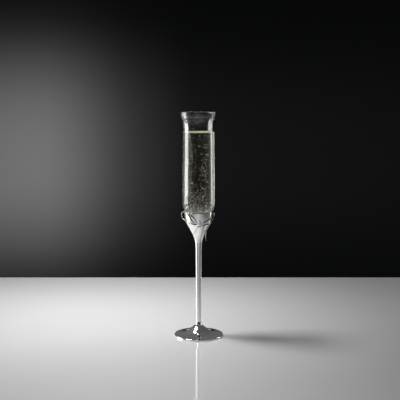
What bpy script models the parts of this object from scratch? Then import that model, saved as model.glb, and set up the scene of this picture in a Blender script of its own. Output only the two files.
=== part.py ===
"""Champagne flute: a crystal tube in a polished metal cup, on a slender stem and a disc foot.

Metres, +Z up. The origin is the centre of the foot's resting plane. -Y is the front, where the wire
bow is tied round the cup. Every touching pair keeps a gap of SEAM between its faces.
"""

import math

import bmesh
import bpy
from mathutils import Vector

# ---------------------------------------------------------------- driving dimensions, in metres
MM = 0.001
SEAM = 0.3 * MM
HEIGHT = 280.0 * MM
RIM_RADIUS = 22.7 * MM
WAIST_RADIUS = 19.0 * MM
WAIST_HEIGHT = 257.0 * MM
BELLY_RADIUS = 19.8 * MM
BELLY_HEIGHT = 176.0 * MM
GLASS_WALL = 1.5 * MM
GLASS_LIP_WALL = 1.1 * MM
GLASS_BASE_HEIGHT = 144.0 * MM
GLASS_BASE_THICKNESS = 3.6 * MM

CUP_RIM_HEIGHT = 156.8 * MM
CUP_RIM_RADIUS = 18.3 * MM
CUP_WALL = 0.6 * MM
SHOULDER_HEIGHT = 144.0 * MM
SHOULDER_RADIUS = 16.2 * MM
LAP_LENGTH = 3.4 * MM
CONE_FOOT_HEIGHT = 118.0 * MM
CONE_FOOT_RADIUS = 4.3 * MM
CEMENT_FLOOR_HEIGHT = 139.0 * MM

STEM_FOOT_HEIGHT = 17.5 * MM
STEM_FOOT_RADIUS = 3.25 * MM
STEM_BORE_RADIUS = 1.9 * MM

ROD_RADIUS = 1.5 * MM
ROD_BOTTOM = 4.6 * MM
ROD_TOP = 126.0 * MM
BOSS_TOP = 128.0 * MM

FOOT_RADIUS = 30.6 * MM
FOOT_NECK_TOP = STEM_FOOT_HEIGHT - SEAM
FOOT_EDGE_THICKNESS = 2.0 * MM
REST_RING_INNER = 27.2 * MM
REST_RING_OUTER = 29.8 * MM
RECESS_CEILING = 9.3 * MM
WASHER_RADIUS = 4.6 * MM
WASHER_THICKNESS = 1.0 * MM
NUT_CORNER_RADIUS = 3.2 * MM
NUT_THICKNESS = 2.4 * MM

WIRE_RADIUS = 0.45 * MM
LAYER_0 = SEAM + WIRE_RADIUS
LAYER_STEP = 2.0 * WIRE_RADIUS + SEAM
LAYER_1 = LAYER_0 + LAYER_STEP
LAYER_2 = LAYER_1 + LAYER_STEP

ROUND_STEPS = 48
SMALL_STEPS = 32
CURVE_STEPS = 2


# ---------------------------------------------------------------- scene and materials
def clear_scene():
    """Remove every object and leftover collection of the open scene."""
    for old in list(bpy.data.objects):
        bpy.data.objects.remove(old, do_unlink=True)
    for old in list(bpy.data.collections):
        bpy.data.collections.remove(old)


def new_collection(name):
    """Return a new collection linked to the scene."""
    collection = bpy.data.collections.new(name)
    bpy.context.scene.collection.children.link(collection)
    return collection


def make_material(name, colour, roughness, metallic):
    """Return a Principled material."""
    material = bpy.data.materials.new(name)
    material.use_nodes = True
    shader = material.node_tree.nodes["Principled BSDF"]
    shader.inputs["Base Color"].default_value = (*colour, 1.0)
    shader.inputs["Roughness"].default_value = roughness
    shader.inputs["Metallic"].default_value = metallic
    return material


# ---------------------------------------------------------------- shape tools
def smooth_path(points, steps=CURVE_STEPS):
    """Return a centripetal Catmull-Rom curve through the points, each span cut into the steps."""
    knots = [Vector(point) for point in points]
    knots.insert(0, 2.0 * knots[0] - knots[1])
    knots.append(2.0 * knots[-1] - knots[-2])
    path = []
    for before, start, end, after in zip(knots, knots[1:], knots[2:], knots[3:]):
        lead = math.sqrt((start - before).length)
        span = math.sqrt((end - start).length)
        trail = math.sqrt((after - end).length)
        chord = end - start
        leave = chord + span * ((start - before) / lead - (end - before) / (lead + span))
        arrive = chord + span * ((after - end) / trail - (after - start) / (span + trail))
        for step in range(steps):
            t = step / steps
            blend = t * t * (3.0 - 2.0 * t)
            pull = t * (1.0 - t) * ((1.0 - t) * leave - t * arrive)
            path.append(tuple(start + blend * chord + pull))
    path.append(tuple(points[-1]))
    return path


def radius_at(outline, height):
    """Return an outline's radius at a height, on the straight line between its nearest points."""
    for (upper_r, upper_z), (lower_r, lower_z) in zip(outline, outline[1:]):
        if upper_z >= height >= lower_z:
            share = (upper_z - height) / (upper_z - lower_z)
            return upper_r + share * (lower_r - upper_r)
    raise ValueError("the outline does not reach this height")


def place(obj, collection, material):
    """Link an object to its collection and give it its material."""
    collection.objects.link(obj)
    obj.data.materials.append(material)
    return obj


def add_screw(obj, steps):
    """Turn a profile once round Z."""
    screw = obj.modifiers.new("Turn", "SCREW")
    screw.axis = "Z"
    screw.angle = 2.0 * math.pi
    screw.steps = steps
    screw.render_steps = steps
    screw.use_merge_vertices = True
    screw.merge_threshold = 0.00001
    screw.use_smooth_shade = True


def turned(name, profile, collection, material, steps=ROUND_STEPS, closed=False):
    """Make a turned piece from (radius, height) points that run down its outer side."""
    edges = [(index, index + 1) for index in range(len(profile) - 1)]
    if closed:
        edges.append((len(profile) - 1, 0))
    mesh = bpy.data.meshes.new(name)
    mesh.from_pydata([(radius, 0.0, height) for radius, height in profile], edges, [])
    obj = bpy.data.objects.new(name, mesh)
    place(obj, collection, material)
    add_screw(obj, steps)
    return obj


def wire(name, route, collection, material):
    """Make a round wire from (degrees round from the front, height, stand-off) points.

    The stand-off is the distance of the wire's centre from the cup, glass or cone behind it.
    """
    curve = bpy.data.curves.new(name, "CURVE")
    curve.dimensions = "3D"
    curve.bevel_depth = WIRE_RADIUS
    curve.bevel_resolution = 2
    curve.use_fill_caps = True
    path = smooth_path(route)
    spline = curve.splines.new("POLY")
    spline.points.add(len(path) - 1)
    for point, (degrees, height, stand_off) in zip(spline.points, path):
        reach = radius_at(OUTER_OUTLINE, height) + stand_off
        angle = math.radians(degrees)
        point.co = (reach * math.sin(angle), -reach * math.cos(angle), height, 1.0)
    obj = bpy.data.objects.new(name, curve)
    return place(obj, collection, material)


# ---------------------------------------------------------------- outlines shared by neighbours
GLASS_OUTLINE = smooth_path([
    (RIM_RADIUS, HEIGHT - 0.5 * GLASS_LIP_WALL),
    (22.5 * MM, 276.8 * MM),
    (21.1 * MM, 271.9 * MM),
    (19.9 * MM, 267.0 * MM),
    (19.2 * MM, 262.0 * MM),
    (WAIST_RADIUS, WAIST_HEIGHT),
    (19.2 * MM, 244.0 * MM),
    (BELLY_RADIUS, BELLY_HEIGHT),
    (19.7 * MM, 166.0 * MM),
    (19.0 * MM, 162.4 * MM),
    (18.2 * MM, 159.2 * MM),
    (CUP_RIM_RADIUS - CUP_WALL - SEAM, CUP_RIM_HEIGHT),
    (16.3 * MM, 151.2 * MM),
    (14.0 * MM, 147.6 * MM),
    (8.6 * MM, 144.9 * MM),
    (0.0, GLASS_BASE_HEIGHT),
])

COLLAR_OUTLINE = [
    (CUP_RIM_RADIUS, CUP_RIM_HEIGHT),
    (18.0 * MM, 153.6 * MM),
    (17.7 * MM, 151.2 * MM),
    (17.1 * MM, 148.0 * MM),
    (SHOULDER_RADIUS + 0.1 * MM, SHOULDER_HEIGHT + SEAM),
]

CONE_OUTLINE = smooth_path([
    (SHOULDER_RADIUS, SHOULDER_HEIGHT),
    (9.5 * MM, 131.9 * MM),
    (6.7 * MM, 126.2 * MM),
    (5.2 * MM, 122.2 * MM),
    (CONE_FOOT_RADIUS, CONE_FOOT_HEIGHT),
])

OUTER_OUTLINE = [point for point in GLASS_OUTLINE if point[1] > CUP_RIM_HEIGHT + 2.0 * MM]
OUTER_OUTLINE += COLLAR_OUTLINE + CONE_OUTLINE


# ---------------------------------------------------------------- the glass and what holds it
def make_glass_bowl(collection, material):
    """The crystal tube: a flared lip, a slight waist, straight walls and a rounded base."""
    inner_base = GLASS_BASE_HEIGHT + GLASS_BASE_THICKNESS
    inside = smooth_path([
        (0.0, inner_base),
        (8.0 * MM, inner_base + 0.9 * MM),
        (13.6 * MM, inner_base + 4.6 * MM),
        (16.3 * MM, inner_base + 10.4 * MM),
        (BELLY_RADIUS - 1.3 * GLASS_WALL, BELLY_HEIGHT - 8.0 * MM),
        (19.2 * MM - GLASS_WALL, 244.0 * MM),
        (WAIST_RADIUS - GLASS_WALL, WAIST_HEIGHT),
        (19.2 * MM - GLASS_WALL, 262.0 * MM),
        (19.9 * MM - GLASS_WALL, 267.0 * MM),
        (21.1 * MM - 1.1 * GLASS_LIP_WALL, 271.9 * MM),
        (RIM_RADIUS - GLASS_LIP_WALL, HEIGHT - 0.5 * GLASS_LIP_WALL),
    ])
    lip = (RIM_RADIUS - 0.5 * GLASS_LIP_WALL, HEIGHT)
    return turned("glass_bowl", inside + [lip] + GLASS_OUTLINE, collection, material)


def make_cement_bed(collection, material):
    """The clear cement that the glass base beds into, inside the cup."""
    lip_clearance = CUP_WALL + SEAM
    profile = [
        (0.0, GLASS_BASE_HEIGHT - SEAM),
        (8.6 * MM, 144.9 * MM - SEAM),
        (13.4 * MM, 146.6 * MM),
        (SHOULDER_RADIUS - 2.2 * lip_clearance, 146.6 * MM),
        (SHOULDER_RADIUS - 2.4 * lip_clearance, SHOULDER_HEIGHT),
        (radius_at(CONE_OUTLINE, CEMENT_FLOOR_HEIGHT) - 1.6 * lip_clearance, CEMENT_FLOOR_HEIGHT),
        (0.0, CEMENT_FLOOR_HEIGHT),
    ]
    return turned("cement_bed", profile, collection, material)


def make_cup_collar(collection, material):
    """The spun collar round the glass, from the cup's rim down to the shoulder."""
    inside = [(radius - CUP_WALL, height) for radius, height in reversed(COLLAR_OUTLINE)]
    return turned("cup_collar", COLLAR_OUTLINE + inside, collection, material, closed=True)


def make_cup_cone(collection, material):
    """The cone below the collar, with a lip that laps inside the collar's lower edge."""
    lap_top = SHOULDER_HEIGHT + LAP_LENGTH
    lap_outer = [
        (radius_at(COLLAR_OUTLINE, lap_top) - CUP_WALL - SEAM, lap_top),
        (SHOULDER_RADIUS - CUP_WALL - SEAM, SHOULDER_HEIGHT),
    ]
    inside = [(radius - 1.3 * CUP_WALL, height) for radius, height in reversed(CONE_OUTLINE)]
    inside[-1] = (SHOULDER_RADIUS - 2.0 * CUP_WALL - SEAM, SHOULDER_HEIGHT)
    lap_inner = (lap_outer[0][0] - CUP_WALL, lap_top)
    profile = lap_outer + CONE_OUTLINE + inside + [lap_inner]
    return turned("cup_cone", profile, collection, material, closed=True)


def make_cup_boss(collection, material):
    """The solid boss in the bottom of the cone, bored for the tie rod."""
    clearance = 1.3 * CUP_WALL + SEAM
    heights = [BOSS_TOP, 124.0 * MM, CONE_FOOT_HEIGHT + 1.0 * MM]
    outside = [(radius_at(CONE_OUTLINE, height) - clearance, height) for height in heights]
    bore = [(ROD_RADIUS + SEAM, heights[-1]), (ROD_RADIUS + SEAM, heights[0])]
    return turned("cup_boss", outside + bore, collection, material, SMALL_STEPS, closed=True)


# ---------------------------------------------------------------- the stem, its rod and the foot
def make_stem_tube(collection, material):
    """The slender tapered stem, bored from end to end for the tie rod."""
    top = CONE_FOOT_HEIGHT - SEAM
    outside = smooth_path([
        (CONE_FOOT_RADIUS - 0.05 * MM, top),
        (3.85 * MM, 108.0 * MM),
        (3.65 * MM, 84.0 * MM),
        (3.5 * MM, 38.0 * MM),
        (STEM_FOOT_RADIUS, STEM_FOOT_HEIGHT),
    ])
    bore = [(STEM_BORE_RADIUS, STEM_FOOT_HEIGHT), (STEM_BORE_RADIUS, top)]
    return turned("stem_tube", outside + bore, collection, material, SMALL_STEPS, closed=True)


def make_foot_disc(collection, material):
    """The spun foot: a trumpet that flares from the neck to a thin edge, dished underneath."""
    upper = smooth_path([
        (STEM_FOOT_RADIUS, FOOT_NECK_TOP),
        (3.9 * MM, 14.9 * MM),
        (6.3 * MM, 12.2 * MM),
        (10.2 * MM, 8.9 * MM),
        (13.5 * MM, 6.1 * MM),
        (17.5 * MM, 4.3 * MM),
        (23.0 * MM, 3.0 * MM),
        (FOOT_RADIUS - 0.4 * MM, FOOT_EDGE_THICKNESS),
    ])
    edge = [
        (FOOT_RADIUS, 0.62 * FOOT_EDGE_THICKNESS),
        (FOOT_RADIUS - 0.1 * MM, 0.25 * FOOT_EDGE_THICKNESS),
        (REST_RING_OUTER, 0.0),
        (REST_RING_INNER, 0.0),
    ]
    dish = smooth_path([
        (REST_RING_INNER - 0.5 * MM, 0.6 * MM),
        (21.5 * MM, 1.6 * MM),
        (17.5 * MM, 2.7 * MM),
        (13.5 * MM, 4.4 * MM),
        (10.0 * MM, 6.9 * MM),
        (6.6 * MM, RECESS_CEILING),
    ])
    bore = [(ROD_RADIUS + SEAM, RECESS_CEILING), (ROD_RADIUS + SEAM, FOOT_NECK_TOP)]
    return turned("foot_disc", upper + edge + dish + bore, collection, material, closed=True)


def make_tie_rod(collection, material):
    """The threaded rod that pulls boss, stem and foot together; the thread is left plain."""
    length = ROD_TOP - ROD_BOTTOM
    mesh = bpy.data.meshes.new("tie_rod")
    shape = bmesh.new()
    bmesh.ops.create_cone(shape, cap_ends=True, segments=16, radius1=ROD_RADIUS,
                          radius2=ROD_RADIUS, depth=length)
    shape.to_mesh(mesh)
    shape.free()
    rod = bpy.data.objects.new("tie_rod", mesh)
    rod.location.z = ROD_BOTTOM + 0.5 * length
    place(rod, collection, material)
    bevel = rod.modifiers.new("End chamfer", "BEVEL")
    bevel.width = 0.3 * MM
    bevel.limit_method = "ANGLE"
    return rod


def make_foot_washer(collection, material):
    """The washer in the recess under the foot."""
    top = RECESS_CEILING - SEAM
    bore_radius = ROD_RADIUS + SEAM
    profile = [
        (WASHER_RADIUS, top),
        (WASHER_RADIUS, top - WASHER_THICKNESS),
        (bore_radius, top - WASHER_THICKNESS),
        (bore_radius, top),
    ]
    return turned("foot_washer", profile, collection, material, SMALL_STEPS, closed=True)


def make_foot_nut(collection, cutters, material):
    """The hexagon nut that clamps the foot, stem and cup; a plain bore clears the rod."""
    top = RECESS_CEILING - WASHER_THICKNESS - 2.0 * SEAM
    middle = top - 0.5 * NUT_THICKNESS
    mesh = bpy.data.meshes.new("foot_nut")
    shape = bmesh.new()
    bmesh.ops.create_cone(shape, cap_ends=True, segments=6, radius1=NUT_CORNER_RADIUS,
                          radius2=NUT_CORNER_RADIUS, depth=NUT_THICKNESS)
    shape.to_mesh(mesh)
    shape.free()
    nut = bpy.data.objects.new("foot_nut", mesh)
    nut.location.z = middle
    place(nut, collection, material)

    cutter_mesh = bpy.data.meshes.new("nut_bore_cutter")
    cutter_shape = bmesh.new()
    bmesh.ops.create_cone(cutter_shape, cap_ends=True, segments=24, radius1=ROD_RADIUS + SEAM,
                          radius2=ROD_RADIUS + SEAM, depth=2.0 * NUT_THICKNESS)
    cutter_shape.to_mesh(cutter_mesh)
    cutter_shape.free()
    cutter = bpy.data.objects.new("nut_bore_cutter", cutter_mesh)
    cutter.location.z = middle
    cutter.hide_render = True
    cutter.display_type = "WIRE"
    cutters.objects.link(cutter)
    cut = nut.modifiers.new("Bore", "BOOLEAN")
    cut.operation = "DIFFERENCE"
    cut.solver = "EXACT"
    cut.object = cutter
    return nut


# ---------------------------------------------------------------- the wire bow round the cup
def route(points, layers):
    """Join (degrees, millimetres of height) points with their stand-offs into one route."""
    return [(degrees, height * MM, layer) for (degrees, height), layer in zip(points, layers)]


def make_tie_wire(collection, material):
    """One wire: a tail on the cone, once round the shoulder, over its own start, and a free tail."""
    left_tail = [(-46.0, 129.2), (-23.0, 133.3), (-7.0, 138.4), (2.0, 140.0), (14.0, 141.1)]
    band_right = [(29.0, 141.9), (46.0, 142.3), (60.0, 143.0)]
    band_back = [(90.0 + 30.0 * turn, 143.6) for turn in range(7)]
    band_left = [(288.0, 143.8), (312.0, 144.2), (324.0, 143.7), (337.0, 142.6)]
    knot = [(348.0, 142.6), (361.0, 143.3), (369.0, 143.2), (376.0, 141.6), (379.0, 139.4)]
    right_tail = [(386.0, 136.2), (398.0, 133.7), (413.0, 131.9), (428.0, 129.6)]
    free_end = [(440.0, 126.4), (446.0, 123.6), (448.0, 120.8)]
    plain = left_tail + band_right + band_back + band_left
    layers = [LAYER_0] * len(plain)
    layers += [0.6 * LAYER_0 + 0.4 * LAYER_1] + [LAYER_1] * (len(knot) - 1)
    layers += [0.5 * (LAYER_0 + LAYER_1), LAYER_1, LAYER_1, LAYER_1]
    layers += [LAYER_1 + 0.4 * MM, LAYER_1 + 1.6 * MM, LAYER_1 + 2.6 * MM]
    points = plain + knot + right_tail + free_end
    return wire("tie_wire", route(points, layers), collection, material)


def make_loop_left(collection, material):
    """The bow's left loop, which swings out past the cup's left side."""
    points = [
        (-17.5, 145.0), (-26.0, 146.2), (-33.0, 148.8), (-38.0, 152.2), (-48.0, 156.0),
        (-66.0, 157.6), (-80.0, 156.2), (-87.0, 153.2), (-84.0, 149.9), (-75.0, 147.2),
        (-69.0, 146.0),
    ]
    bulge = [0.0, 0.0, 0.0, 0.0, 0.2, 1.0, 2.2, 2.8, 2.4, 0.9, 0.1]
    layers = [LAYER_0 + extra * MM for extra in bulge]
    return wire("loop_left", route(points, layers), collection, material)


def make_loop_right(collection, material):
    """The bow's right loop, which hugs the cup's right side."""
    points = [
        (18.0, 145.1), (25.0, 145.7), (34.0, 146.6), (47.0, 147.9), (59.0, 150.4),
        (67.0, 153.2), (77.0, 155.6), (88.0, 154.8), (95.0, 151.6), (93.0, 148.2), (88.0, 146.2),
    ]
    bulge = [0.0, 0.0, 0.0, 0.0, 0.0, 0.1, 0.4, 0.9, 0.9, 0.4, 0.0]
    layers = [LAYER_0 + extra * MM for extra in bulge]
    return wire("loop_right", route(points, layers), collection, material)


def make_tendril(collection, material):
    """The short strand that rises from the knot towards the cup's rim."""
    points = [(-9.5, 145.1), (-13.0, 148.0), (-20.0, 151.2), (-31.0, 153.8)]
    return wire("tendril", route(points, [LAYER_0] * len(points)), collection, material)


def make_drop_wire(collection, material):
    """The strand that runs from the band down the cone, under the free tail."""
    points = [(56.5, 140.9), (56.0, 138.0), (57.0, 135.0), (58.5, 131.8), (62.0, 128.9)]
    return wire("drop_wire", route(points, [LAYER_0] * len(points)), collection, material)


def make_knot_wrap(collection, material):
    """The short wire bent over the crossing, which holds the bow to the cup."""
    points = [(4.0, 146.6), (7.0, 145.6), (9.5, 144.0), (11.0, 141.6), (11.5, 139.2), (11.5, 137.6)]
    layers = [LAYER_0, 0.4 * LAYER_0 + 0.6 * LAYER_2, LAYER_2, LAYER_2, 0.6 * LAYER_2, LAYER_0]
    return wire("knot_wrap", route(points, layers), collection, material)


def main():
    """Build the flute, piece by piece."""
    clear_scene()
    parts = new_collection("champagne_flute")
    cutters = new_collection("cutters")
    crystal = make_material("crystal", (0.93, 0.95, 0.94), 0.02, 0.0)
    cement = make_material("cement", (0.80, 0.80, 0.76), 0.45, 0.0)
    silver = make_material("polished_silver", (0.86, 0.85, 0.83), 0.08, 1.0)
    wire_silver = make_material("wire_silver", (0.80, 0.80, 0.79), 0.15, 1.0)
    brass = make_material("turned_brass", (0.75, 0.60, 0.32), 0.30, 1.0)
    steel = make_material("plated_steel", (0.62, 0.62, 0.64), 0.35, 1.0)

    make_glass_bowl(parts, crystal)
    make_cement_bed(parts, cement)
    make_cup_collar(parts, silver)
    make_cup_cone(parts, silver)
    make_cup_boss(parts, brass)
    make_stem_tube(parts, silver)
    make_foot_disc(parts, silver)
    make_tie_rod(parts, steel)
    make_foot_washer(parts, steel)
    make_foot_nut(parts, cutters, steel)
    make_tie_wire(parts, wire_silver)
    make_loop_left(parts, wire_silver)
    make_loop_right(parts, wire_silver)
    make_tendril(parts, wire_silver)
    make_drop_wire(parts, wire_silver)
    make_knot_wrap(parts, wire_silver)


if __name__ == "__main__":
    main()
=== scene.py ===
"""Champagne flute in crystal and polished silver, poured and sparkling, with a wire bow round its cup.

Laid out as a Blender add-on and run as a script: each operator builds one piece or one group of like
pieces round the fixed frame. Metres, +Z up, the foot's resting plane at Z 0, and -Y to the front.
"""

import math
import random

import bmesh
import bpy
from bpy.props import FloatProperty, FloatVectorProperty, IntProperty, PointerProperty
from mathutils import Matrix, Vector


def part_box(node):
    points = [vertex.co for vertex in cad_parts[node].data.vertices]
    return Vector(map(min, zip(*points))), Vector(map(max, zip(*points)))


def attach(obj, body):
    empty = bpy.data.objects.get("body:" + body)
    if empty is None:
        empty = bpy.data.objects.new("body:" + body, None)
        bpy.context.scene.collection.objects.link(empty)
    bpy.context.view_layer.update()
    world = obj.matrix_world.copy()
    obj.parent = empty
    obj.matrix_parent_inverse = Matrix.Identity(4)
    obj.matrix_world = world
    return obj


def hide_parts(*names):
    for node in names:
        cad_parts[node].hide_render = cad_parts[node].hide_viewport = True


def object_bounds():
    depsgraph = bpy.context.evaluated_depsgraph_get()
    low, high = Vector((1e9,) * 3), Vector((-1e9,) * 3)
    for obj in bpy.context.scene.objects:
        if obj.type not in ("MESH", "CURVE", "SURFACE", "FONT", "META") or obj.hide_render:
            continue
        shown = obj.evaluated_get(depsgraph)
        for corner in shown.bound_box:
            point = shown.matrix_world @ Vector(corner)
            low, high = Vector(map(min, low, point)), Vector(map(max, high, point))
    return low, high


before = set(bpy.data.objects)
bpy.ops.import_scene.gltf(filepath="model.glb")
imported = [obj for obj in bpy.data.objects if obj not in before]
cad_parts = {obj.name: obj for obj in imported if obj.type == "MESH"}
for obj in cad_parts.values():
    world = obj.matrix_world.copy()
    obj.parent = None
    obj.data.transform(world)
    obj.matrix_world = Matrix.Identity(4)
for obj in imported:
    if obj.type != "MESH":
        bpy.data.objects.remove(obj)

bl_info = {
    "name": "Champagne Flute",
    "version": (1, 0, 0),
    "blender": (4, 5, 0),
    "location": "View3D > Sidebar > Flute",
    "description": "Builds a silver-stemmed crystal champagne flute with a wire bow, poured and sparkling",
    "category": "Object",
}

MM = 0.001
CAD_LOW, CAD_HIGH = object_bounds()
GLASS_LOW, GLASS_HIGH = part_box("glass_bowl")
COLLAR_LOW, COLLAR_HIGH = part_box("cup_collar")
CONE_LOW, CONE_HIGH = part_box("cup_cone")
STEM_LOW, STEM_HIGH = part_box("stem_tube")
FOOT_LOW, FOOT_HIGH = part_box("foot_disc")
ROD_LOW, ROD_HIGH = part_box("tie_rod")
WASHER_LOW, WASHER_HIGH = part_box("foot_washer")
NUT_LOW, NUT_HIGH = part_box("foot_nut")
BOSS_LOW, BOSS_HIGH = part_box("cup_boss")
CEMENT_LOW, CEMENT_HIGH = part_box("cement_bed")

BODY = "root"
ROUND_SEGMENTS = 144
SMALL_SEGMENTS = 48
SHARP_ANGLE = math.radians(38.0)
ROD_HOLE = 1.8 * MM


# ---------------------------------------------------------------- sizes and colours
class FluteSizes(bpy.types.PropertyGroup):
    """The sizes that a maker would change."""

    glass_wall: FloatProperty(
        name="Glass Wall", description="Thickness of the crystal's straight wall",
        default=1.5 * MM, min=0.8 * MM, max=3.0 * MM, subtype="DISTANCE", unit="LENGTH")
    lip_wall: FloatProperty(
        name="Lip Wall", description="Thickness of the crystal at its rim",
        default=1.1 * MM, min=0.6 * MM, max=2.0 * MM, subtype="DISTANCE", unit="LENGTH")
    base_thickness: FloatProperty(
        name="Glass Base", description="Thickness of the crystal's rounded base",
        default=3.6 * MM, min=1.5 * MM, max=8.0 * MM, subtype="DISTANCE", unit="LENGTH")
    fill_depth: FloatProperty(
        name="Fill Below Rim", description="Distance from the rim down to the poured level",
        default=25.2 * MM, min=10.0 * MM, max=100.0 * MM, subtype="DISTANCE", unit="LENGTH")
    cup_wall: FloatProperty(
        name="Cup Wall", description="Thickness of the spun cup's metal",
        default=0.6 * MM, min=0.3 * MM, max=1.2 * MM, subtype="DISTANCE", unit="LENGTH")
    wire_radius: FloatProperty(
        name="Wire Radius", description="Radius of the bow's round wire",
        default=0.45 * MM, min=0.3 * MM, max=1.0 * MM, subtype="DISTANCE", unit="LENGTH")
    bubble_count: IntProperty(
        name="Bubbles", description="Number of bubbles in the drink", default=760, min=0, max=1500)
    thread_pitch: FloatProperty(
        name="Thread Pitch", description="Pitch of the tie rod's thread",
        default=0.5 * MM, min=0.3 * MM, max=1.0 * MM, subtype="DISTANCE", unit="LENGTH")


class FluteColours(bpy.types.PropertyGroup):
    """The colours that a maker would change."""

    silver: FloatVectorProperty(
        name="Silver", description="Colour of the polished silver plate",
        default=(0.90, 0.89, 0.87), min=0.0, max=1.0, subtype="COLOR")
    # painted shade: the wire's silver is set far darker than the cup's, so the bow reads as dark lines on
    # the bright cup
    wire: FloatVectorProperty(
        name="Wire", description="Colour of the bow's wire",
        default=(0.40, 0.40, 0.39), min=0.0, max=1.0, subtype="COLOR")
    brass: FloatVectorProperty(
        name="Brass", description="Colour of the turned boss",
        default=(0.75, 0.58, 0.30), min=0.0, max=1.0, subtype="COLOR")
    steel: FloatVectorProperty(
        name="Steel", description="Colour of the plated rod, washer and nut",
        default=(0.60, 0.60, 0.62), min=0.0, max=1.0, subtype="COLOR")
    drink: FloatVectorProperty(
        name="Drink", description="Colour that the drink takes on with depth",
        default=(0.93, 0.89, 0.60), min=0.0, max=1.0, subtype="COLOR")
    foam: FloatVectorProperty(
        name="Foam", description="Colour of the fine foam round the poured level",
        default=(0.86, 0.87, 0.66), min=0.0, max=1.0, subtype="COLOR")
    cement: FloatVectorProperty(
        name="Cement", description="Colour of the cement under the crystal",
        default=(0.80, 0.80, 0.76), min=0.0, max=1.0, subtype="COLOR")
    floor: FloatVectorProperty(
        name="Floor", description="Colour of the pale floor",
        default=(0.62, 0.62, 0.62), min=0.0, max=1.0, subtype="COLOR")


def sizes():
    """Return the scene's flute sizes."""
    return bpy.context.scene.flute_sizes


def colours():
    """Return the scene's flute colours."""
    return bpy.context.scene.flute_colours


# ---------------------------------------------------------------- outlines and routes
def smooth_path(points, steps):
    """Return a centripetal Catmull-Rom curve through the points, each span cut into the steps."""
    knots = [Vector(point) for point in points]
    knots.insert(0, 2.0 * knots[0] - knots[1])
    knots.append(2.0 * knots[-1] - knots[-2])
    path = []
    for before, start, end, after in zip(knots, knots[1:], knots[2:], knots[3:]):
        lead = math.sqrt((start - before).length)
        span = math.sqrt((end - start).length)
        trail = math.sqrt((after - end).length)
        chord = end - start
        leave = chord + span * ((start - before) / lead - (end - before) / (lead + span))
        arrive = chord + span * ((after - end) / trail - (after - start) / (span + trail))
        for step in range(steps):
            t = step / steps
            blend = t * t * (3.0 - 2.0 * t)
            pull = t * (1.0 - t) * ((1.0 - t) * leave - t * arrive)
            path.append(tuple(start + blend * chord + pull))
    path.append(tuple(points[-1]))
    return path


def arc(centre, radius, start, end, steps):
    """Return (radius, height) points along a round edge, between two angles in degrees."""
    points = []
    for step in range(steps + 1):
        angle = math.radians(start + (end - start) * step / steps)
        points.append((centre[0] + radius * math.cos(angle), centre[1] + radius * math.sin(angle)))
    return points


def radius_at(outline, height):
    """Return an outline's radius at a height, on the straight line between its nearest points."""
    for (first_r, first_z), (second_r, second_z) in zip(outline, outline[1:]):
        if min(first_z, second_z) <= height <= max(first_z, second_z) and first_z != second_z:
            share = (height - first_z) / (second_z - first_z)
            return first_r + share * (second_r - first_r)
    raise ValueError("the outline does not reach this height")


def glass_outside():
    """Return the crystal's outer outline, from the lip's outer edge down to the axis."""
    lip = sizes().lip_wall
    return smooth_path([
        (GLASS_HIGH.x, GLASS_HIGH.z - 0.5 * lip),
        (22.5 * MM, 276.8 * MM),
        (21.1 * MM, 271.9 * MM),
        (19.9 * MM, 267.0 * MM),
        (19.2 * MM, 262.0 * MM),
        (19.0 * MM, 257.0 * MM),
        (19.2 * MM, 244.0 * MM),
        (19.8 * MM, 176.0 * MM),
        (19.7 * MM, 166.0 * MM),
        (19.0 * MM, 162.4 * MM),
        (18.2 * MM, 159.2 * MM),
        (17.4 * MM, COLLAR_HIGH.z),
        (16.3 * MM, 151.2 * MM),
        (14.0 * MM, 147.6 * MM),
        (8.6 * MM, 144.9 * MM),
        (0.0, GLASS_LOW.z),
    ], 8)


def glass_inside():
    """Return the crystal's inner outline, from the axis up to the lip's inner edge."""
    wall = sizes().glass_wall
    floor = GLASS_LOW.z + sizes().base_thickness
    return smooth_path([
        (0.0, floor),
        (8.0 * MM, floor + 0.9 * MM),
        (13.6 * MM, floor + 4.6 * MM),
        (16.3 * MM, floor + 10.4 * MM),
        (19.8 * MM - 1.3 * wall, 168.0 * MM),
        (19.2 * MM - wall, 244.0 * MM),
        (19.0 * MM - wall, 257.0 * MM),
        (19.2 * MM - wall, 262.0 * MM),
        (19.9 * MM - wall, 267.0 * MM),
        (21.1 * MM - 1.1 * sizes().lip_wall, 271.9 * MM),
        (GLASS_HIGH.x - sizes().lip_wall, GLASS_HIGH.z - 0.5 * sizes().lip_wall),
    ], 8)


def collar_outside():
    """Return the collar's outer outline, from the cup's rim down to the shoulder."""
    return smooth_path([
        (COLLAR_HIGH.x, COLLAR_HIGH.z - 0.25 * MM),
        (18.0 * MM, 153.6 * MM),
        (17.7 * MM, 151.2 * MM),
        (17.1 * MM, 148.0 * MM),
        (CONE_HIGH.x + 0.1 * MM, COLLAR_LOW.z),
    ], 6)


def cone_outside():
    """Return the cone's outer outline, from the shoulder down to the stem."""
    return smooth_path([
        (CONE_HIGH.x, COLLAR_LOW.z - 0.3 * MM),
        (9.5 * MM, 131.9 * MM),
        (6.7 * MM, 126.2 * MM),
        (5.2 * MM, 122.2 * MM),
        (4.3 * MM, CONE_LOW.z),
    ], 10)


def outer_outline():
    """Return the outline that the bow's wires lie on: crystal, collar and cone."""
    crystal = [point for point in glass_outside() if point[1] > COLLAR_HIGH.z + 2.0 * MM]
    return crystal + collar_outside() + cone_outside()


# ---------------------------------------------------------------- pieces
def add_piece(shape, material, slot, *nodes):
    """Make a piece from its mesh or curve. It stands for the named CAD nodes, if there are any."""
    obj = bpy.data.objects.new(shape.name, shape)
    bpy.context.scene.collection.objects.link(obj)
    shape.materials.append(material)
    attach(obj, BODY)
    if nodes:
        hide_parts(*nodes)
    return obj


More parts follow.
